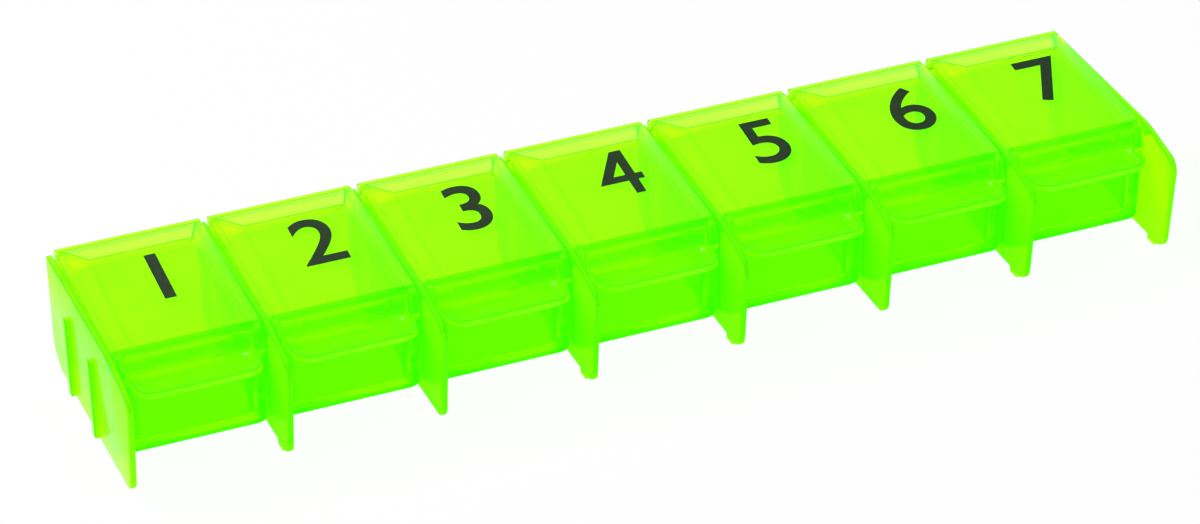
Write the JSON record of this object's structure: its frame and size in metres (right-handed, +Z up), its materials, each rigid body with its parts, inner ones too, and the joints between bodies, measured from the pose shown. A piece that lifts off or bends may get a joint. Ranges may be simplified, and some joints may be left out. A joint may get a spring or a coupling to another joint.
{
  "type": "weekly pill organizer",
  "caption": "Row of lidded pill cups between upright divider plates; each hip-roofed flap lid has a scooped thumb tab and swings up on its own rear hinge.",
  "frame": {"origin": "middle of the box round the whole object, at the surface that it stands on", "axes": "+X along the row towards the seventh cup, +Y towards the hinges, +Z up"},
  "size_m": [0.2122, 0.051, 0.0278],
  "materials": {
    "tray_plastic": "clear dyed moulding",
    "lid_plastic": "clear dyed moulding"
  },
  "bodies": {
    "tray": {"cup_1": "tray_plastic", "cup_2": "tray_plastic", "cup_3": "tray_plastic", "cup_4": "tray_plastic", "cup_5": "tray_plastic", "cup_6": "tray_plastic", "cup_7": "tray_plastic", "plate_1": "tray_plastic", "plate_2": "tray_plastic", "plate_3": "tray_plastic", "plate_4": "tray_plastic", "plate_5": "tray_plastic", "plate_6": "tray_plastic", "plate_7": "tray_plastic", "plate_8": "tray_plastic"},
    "lid_1": {"lid_1": "lid_plastic"},
    "lid_2": {"lid_2": "lid_plastic"},
    "lid_3": {"lid_3": "lid_plastic"},
    "lid_4": {"lid_4": "lid_plastic"},
    "lid_5": {"lid_5": "lid_plastic"},
    "lid_6": {"lid_6": "lid_plastic"},
    "lid_7": {"lid_7": "lid_plastic"}
  },
  "joints": [
    {"name": "lid_1_hinge", "type": "hinge", "parent": "tray", "child": "lid_1", "pos_m": [-0.0895, 0.02333, 0.0225], "axis": [-1, 0, 0], "range_deg": [0, 150]},
    {"name": "lid_2_hinge", "type": "hinge", "parent": "tray", "child": "lid_2", "pos_m": [-0.0595, 0.02333, 0.0225], "axis": [-1, 0, 0], "range_deg": [0, 150]},
    {"name": "lid_3_hinge", "type": "hinge", "parent": "tray", "child": "lid_3", "pos_m": [-0.0295, 0.02333, 0.0225], "axis": [-1, 0, 0], "range_deg": [0, 150]},
    {"name": "lid_4_hinge", "type": "hinge", "parent": "tray", "child": "lid_4", "pos_m": [0.0005, 0.02333, 0.0225], "axis": [-1, 0, 0], "range_deg": [0, 150]},
    {"name": "lid_5_hinge", "type": "hinge", "parent": "tray", "child": "lid_5", "pos_m": [0.0305, 0.02333, 0.0225], "axis": [-1, 0, 0], "range_deg": [0, 150]},
    {"name": "lid_6_hinge", "type": "hinge", "parent": "tray", "child": "lid_6", "pos_m": [0.0605, 0.02333, 0.0225], "axis": [-1, 0, 0], "range_deg": [0, 150]},
    {"name": "lid_7_hinge", "type": "hinge", "parent": "tray", "child": "lid_7", "pos_m": [0.0905, 0.02333, 0.0225], "axis": [-1, 0, 0], "range_deg": [0, 150]}
  ]
}
